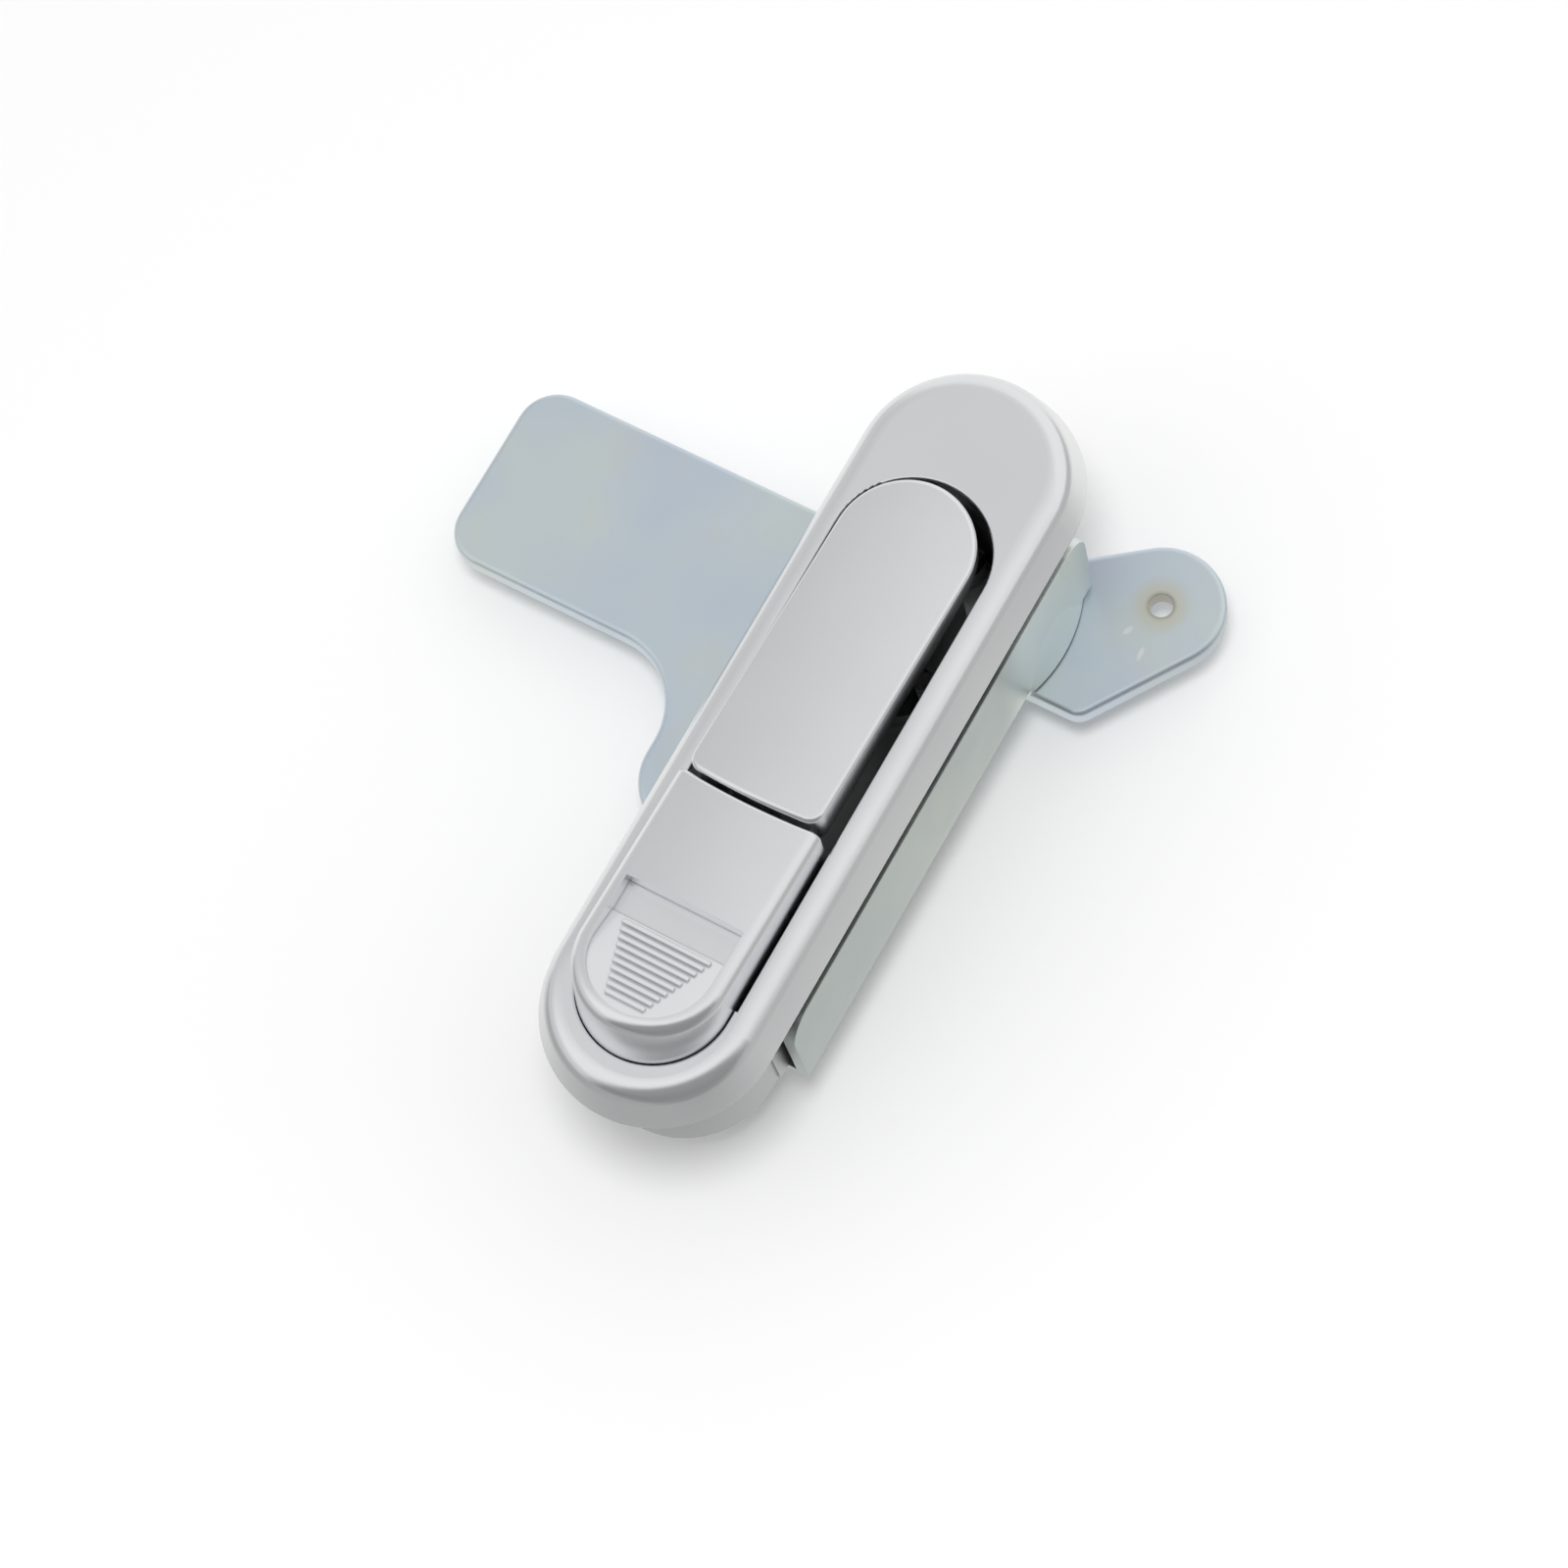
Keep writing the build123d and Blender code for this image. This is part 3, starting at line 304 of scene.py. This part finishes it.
# Painted highlight: the bracket's bulge lightened nearly to white, as its sloping face would be lit
bracket_painted_highlight = [(20.0, 37.0, 90, 17.0, 12.0, 0.9, "#F2F8F3")]
finishes = {
    "satin_chrome": satin_chrome(),
    "zinc_plated_steel": zinc_plated_steel("blue_passivated_zinc", "#CAD5E2", "#D2DDDF", cam_plate_marks),
    "bright_steel": turned_steel("bright_turned_steel", "#B4B5B6", 0.22, 0.4),
    "spring_steel": turned_steel("drawn_spring_wire", "#8F9092", 0.26, 0.3),
    "black_rubber": moulded("black_moulded_rubber", "#1B1B1C", "#252526", 0.62, 0.5),
    "white_nylon": moulded("white_moulded_nylon", "#E6E4DD", "#EFEDE7", 0.42, 0.6),
}
for piece in frame["record"]["subparts"]:
    skin = nodes[piece["node"]].data.materials
    skin.clear()
    skin.append(finishes[piece["material_slot"]])
bracket_skin = nodes["mounting_bracket"].data.materials
bracket_skin[0] = zinc_plated_steel("clear_passivated_zinc", "#B0B9B7", "#BBC2BE", bracket_painted_highlight)


# Springs: coils in place of the spring nodes, between the two bodies that they press apart

SPRING_TURNS = 5
CLOSED_TURNS = 0.75
OPENING_TURNS = 0.5
RINGS_PER_TURN = 40
WIRE_SIDES = 12


def coil_spring(name, node, wire_radius, turns):
    """Compression spring in place of a node: a wire of round section carried along a helix that turns
    2 pi t for t from 0 to turns. Its height is the running sum of the pitch, which is one thickness of the
    wire in the closed turns at each end, opens smoothly and is even between them. Gives the coil and the
    middles of its foot and head."""
    low, high = (np.array(corner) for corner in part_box(node))
    middle = (low + high) / 2
    radius = (high[0] - low[0]) / 2 - wire_radius
    rise = high[2] - low[2] - 2 * wire_radius
    t, step = np.linspace(0, turns, RINGS_PER_TURN * turns + 1, retstep=True)
    from_end = np.clip((np.minimum(t, turns - t) - CLOSED_TURNS) / OPENING_TURNS, 0, 1)
    opening = from_end ** 2 * (3 - 2 * from_end)
    spread = (rise - 2 * wire_radius * turns) / (opening.sum() * step)
    pitch = 2 * wire_radius + spread * opening
    height = np.concatenate(([0.0], np.cumsum((pitch[1:] + pitch[:-1]) / 2) * step))
    angle = 2 * np.pi * t
    outward = np.stack((np.cos(angle), np.sin(angle), 0 * t), axis=1)
    along = np.stack((-np.sin(angle), np.cos(angle), pitch / (2 * np.pi * radius)), axis=1)
    along /= np.linalg.norm(along, axis=1, keepdims=True)
    upward = np.cross(along, outward)
    axis = np.stack((middle[0] + 0 * t, middle[1] + 0 * t, low[2] + wire_radius + height), axis=1)
    centre = radius * outward + axis
    v = np.linspace(0, 2 * np.pi, WIRE_SIDES, endpoint=False)[None, :, None]
    points = centre[:, None] + wire_radius * (np.cos(v) * outward[:, None] + np.sin(v) * upward[:, None])
    ring, side = np.meshgrid(np.arange(len(t) - 1), np.arange(WIRE_SIDES), indexing="ij")
    after = (side + 1) % WIRE_SIDES
    corners = (ring * WIRE_SIDES + side, ring * WIRE_SIDES + after,
               (ring + 1) * WIRE_SIDES + after, (ring + 1) * WIRE_SIDES + side)
    walls = np.stack(corners, axis=-1).reshape(-1, 4).tolist()
    first_end = list(range(WIRE_SIDES))[::-1]
    last_end = list(range((len(t) - 1) * WIRE_SIDES, len(t) * WIRE_SIDES))
    mesh = bpy.data.meshes.new(name)
    mesh.from_pydata(points.reshape(-1, 3).tolist(), [], walls + [first_end, last_end])
    mesh.polygons.foreach_set("use_smooth", [True] * len(walls) + [False, False])
    mesh.materials.append(finishes["spring_steel"])
    coil = bpy.data.objects.new(name, mesh)
    bpy.context.scene.collection.objects.link(coil)
    foot, head = (middle[0], middle[1], low[2]), (middle[0], middle[1], high[2])
    return coil, foot, head


catch_coil, foot, head = coil_spring("catch_spring_coil", "catch_spring", 0.45 * MM, SPRING_TURNS)
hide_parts("catch_spring")
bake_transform(catch_coil)
handle_coil, foot, head = coil_spring("handle_spring_coil", "handle_spring", 0.4 * MM, SPRING_TURNS)
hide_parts("handle_spring")
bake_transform(handle_coil)


# Floor, light and camera

def white_paper():
    """White paper: diffuse, so that it takes the shadow. In mirrored rays it glows, a painted reflection that
    falls off towards the front and the right, where the dark of the room would stand."""
    front_far_mm, front_near_mm, front_least, front_most = -110, -30, 0.3, 0.95
    side_near_mm, side_far_mm, side_least = 28, 70, 0.45
    mirrored_share = 0.8
    material, tree, output = empty_material("white_paper_floor")
    paper = add(tree, "ShaderNodeBsdfDiffuse", None, {"Color": linear("#F8F8F8")})
    place = add(tree, "ShaderNodeTexCoord").outputs["Object"]
    axes = add(tree, "ShaderNodeSeparateXYZ", None, {0: place})
    front = add(tree, "ShaderNodeMapRange", SMOOTH,
                {"Value": axes.outputs["Y"], "From Min": front_far_mm * MM, "From Max": front_near_mm * MM,
                 "To Min": front_least, "To Max": front_most})
    side = add(tree, "ShaderNodeMapRange", SMOOTH,
               {"Value": axes.outputs["X"], "From Min": side_near_mm * MM, "From Max": side_far_mm * MM,
                "To Min": 1.0, "To Max": side_least})
    level = add(tree, "ShaderNodeMath", TIMES, {0: front.outputs["Result"], 1: side.outputs["Result"]})
    # Painted reflection: the glow that mirrored rays see, dimmed towards the front and the right
    painted_reflection_glow = add(tree, "ShaderNodeEmission", None,
               {"Color": linear("#FFFEFC"), "Strength": level.outputs[0]})
    rays = add(tree, "ShaderNodeLightPath")
    share = add(tree, "ShaderNodeMath", TIMES, {0: rays.outputs["Is Glossy Ray"], 1: mirrored_share})
    both = add(tree, "ShaderNodeMixShader", None,
               {0: share.outputs[0], 1: paper.outputs[0], 2: painted_reflection_glow.outputs[0]})
    tree.links.new(both.outputs[0], output.inputs["Surface"])
    return material


FLOOR_GAP = 0.2 * MM
FLOOR_REACH = 3.0
floor_z = cad_box[0][2] - FLOOR_GAP
floor_corners = [(x * FLOOR_REACH, y * FLOOR_REACH, floor_z) for x, y in ((-1, -1), (1, -1), (1, 1), (-1, 1))]
floor_mesh = bpy.data.meshes.new("floor")
floor_mesh.from_pydata(floor_corners, [], [(0, 1, 2, 3)])
floor_mesh.materials.append(white_paper())
floor = bpy.data.objects.new("floor", floor_mesh)
bpy.context.scene.collection.objects.link(floor)


def studio_room():
    """World whose radiance depends on the direction (x, y, z). Overhead it is 0.775 + 0.2 x, and 0.6 more
    for each unit that y falls below 0.24; towards the horizon 0.8 + 0.13 x; up to 0.22 more on the far side,
    where y passes 0.45; and 0.95 at most, so that nothing mirrored clips. A dark card that leaves a third
    of it stands before the object and round to its right: where y - 0.8 x lies below about -0.6."""
    overhead, overhead_per_x, near_from_y, more_per_y = 0.775, 0.2, 0.24, 0.6
    horizon, horizon_per_x, high_z, low_z = 0.8, 0.13, 0.6, 0.35
    far_from_y, far_full_y, far_more, most = 0.45, 0.7, 0.22, 0.95
    card_per_x, card_from, card_full, card_share = -0.8, -0.45, -0.75, 0.34
    world = bpy.data.worlds.new("studio")
    world.use_nodes = True
    tree = world.node_tree
    tree.nodes.clear()
    output = tree.nodes.new("ShaderNodeOutputWorld")
    direction = add(tree, "ShaderNodeTexCoord").outputs["Generated"]
    axes = add(tree, "ShaderNodeSeparateXYZ", None, {0: direction})
    nearness = add(tree, "ShaderNodeMath", {"operation": "SUBTRACT"}, {0: near_from_y, 1: axes.outputs["Y"]})
    near_side = add(tree, "ShaderNodeMath", {"operation": "MAXIMUM"}, {0: nearness.outputs[0], 1: 0.0})
    aside = add(tree, "ShaderNodeMath", TIMES_PLUS, {0: axes.outputs["X"], 1: overhead_per_x, 2: overhead})
    ceiling = add(tree, "ShaderNodeMath", TIMES_PLUS,
                  {0: near_side.outputs[0], 1: more_per_y, 2: aside.outputs[0]})
    wall = add(tree, "ShaderNodeMath", TIMES_PLUS, {0: axes.outputs["X"], 1: horizon_per_x, 2: horizon})
    lowness = add(tree, "ShaderNodeMapRange", SMOOTH,
                  {"Value": axes.outputs["Z"], "From Min": high_z, "From Max": low_z,
                   "To Min": 0.0, "To Max": 1.0})
    dome = add(tree, "ShaderNodeMix", NUMBERS,
               {SHARE: lowness.outputs["Result"], NUMBER_A: ceiling.outputs[0], NUMBER_B: wall.outputs[0]})
    far_side = add(tree, "ShaderNodeMapRange", SMOOTH,
                   {"Value": axes.outputs["Y"], "From Min": far_from_y, "From Max": far_full_y,
                    "To Min": 0.0, "To Max": far_more})
    lifted = add(tree, "ShaderNodeMath", {"operation": "ADD"},
                 {0: dome.outputs[MIXED_NUMBER], 1: far_side.outputs["Result"]})
    capped = add(tree, "ShaderNodeMath", {"operation": "MINIMUM"}, {0: lifted.outputs[0], 1: most})
    card_place = add(tree, "ShaderNodeMath", TIMES_PLUS,
                     {0: axes.outputs["X"], 1: card_per_x, 2: axes.outputs["Y"]})
    card = add(tree, "ShaderNodeMapRange", SMOOTH,
               {"Value": card_place.outputs[0], "From Min": card_from, "From Max": card_full,
                "To Min": 1.0, "To Max": card_share})
    room = add(tree, "ShaderNodeMath", TIMES, {0: capped.outputs[0], 1: card.outputs["Result"]})
    light = add(tree, "ShaderNodeBackground", None,
                {"Color": (1.0, 1.0, 1.0, 1.0), "Strength": room.outputs[0]})
    tree.links.new(light.outputs[0], output.inputs["Surface"])
    return world


bpy.context.scene.world = studio_room()

# One lamp, nearer the vertical than the camera's line, gives the shadow on the paper; the metal doesn't
# mirror it
lamp_place = Vector((0.13, -0.1, 1.0))
lamp_data = bpy.data.lights.new("key_lamp", "AREA")
lamp_data.shape = "DISK"
lamp_data.size = 0.3
lamp_data.energy = 3.8
lamp = bpy.data.objects.new("key_lamp", lamp_data)
lamp.location = lamp_place
lamp.rotation_euler = lamp_place.to_track_quat("Z", "Y").to_euler()
lamp.visible_glossy = False
bpy.context.scene.collection.objects.link(lamp)

# Camera: bearing, height and roll of the photographed view, and where it stands
azimuth, elevation, roll = radians(50.3), radians(68.1), radians(-22.0)
camera_place_mm = Vector((190.374, -166.465, 619.380))
towards = Vector((cos(elevation) * sin(azimuth), -cos(elevation) * cos(azimuth), sin(elevation)))
across = Vector((0, 0, 1)).cross(towards).normalized()
upright = towards.cross(across)
right = cos(roll) * across + sin(roll) * upright
up = -sin(roll) * across + cos(roll) * upright
turn = Matrix((right, up, towards)).transposed().to_4x4()
lens = bpy.data.cameras.new("camera")
lens.sensor_width = 36.0
lens.lens = 105.58
camera = bpy.data.objects.new("camera", lens)
camera.matrix_world = Matrix.Translation(camera_place_mm * MM) @ turn
bpy.context.scene.collection.objects.link(camera)
bpy.context.scene.camera = camera
bpy.context.scene.view_settings.view_transform = "Standard"
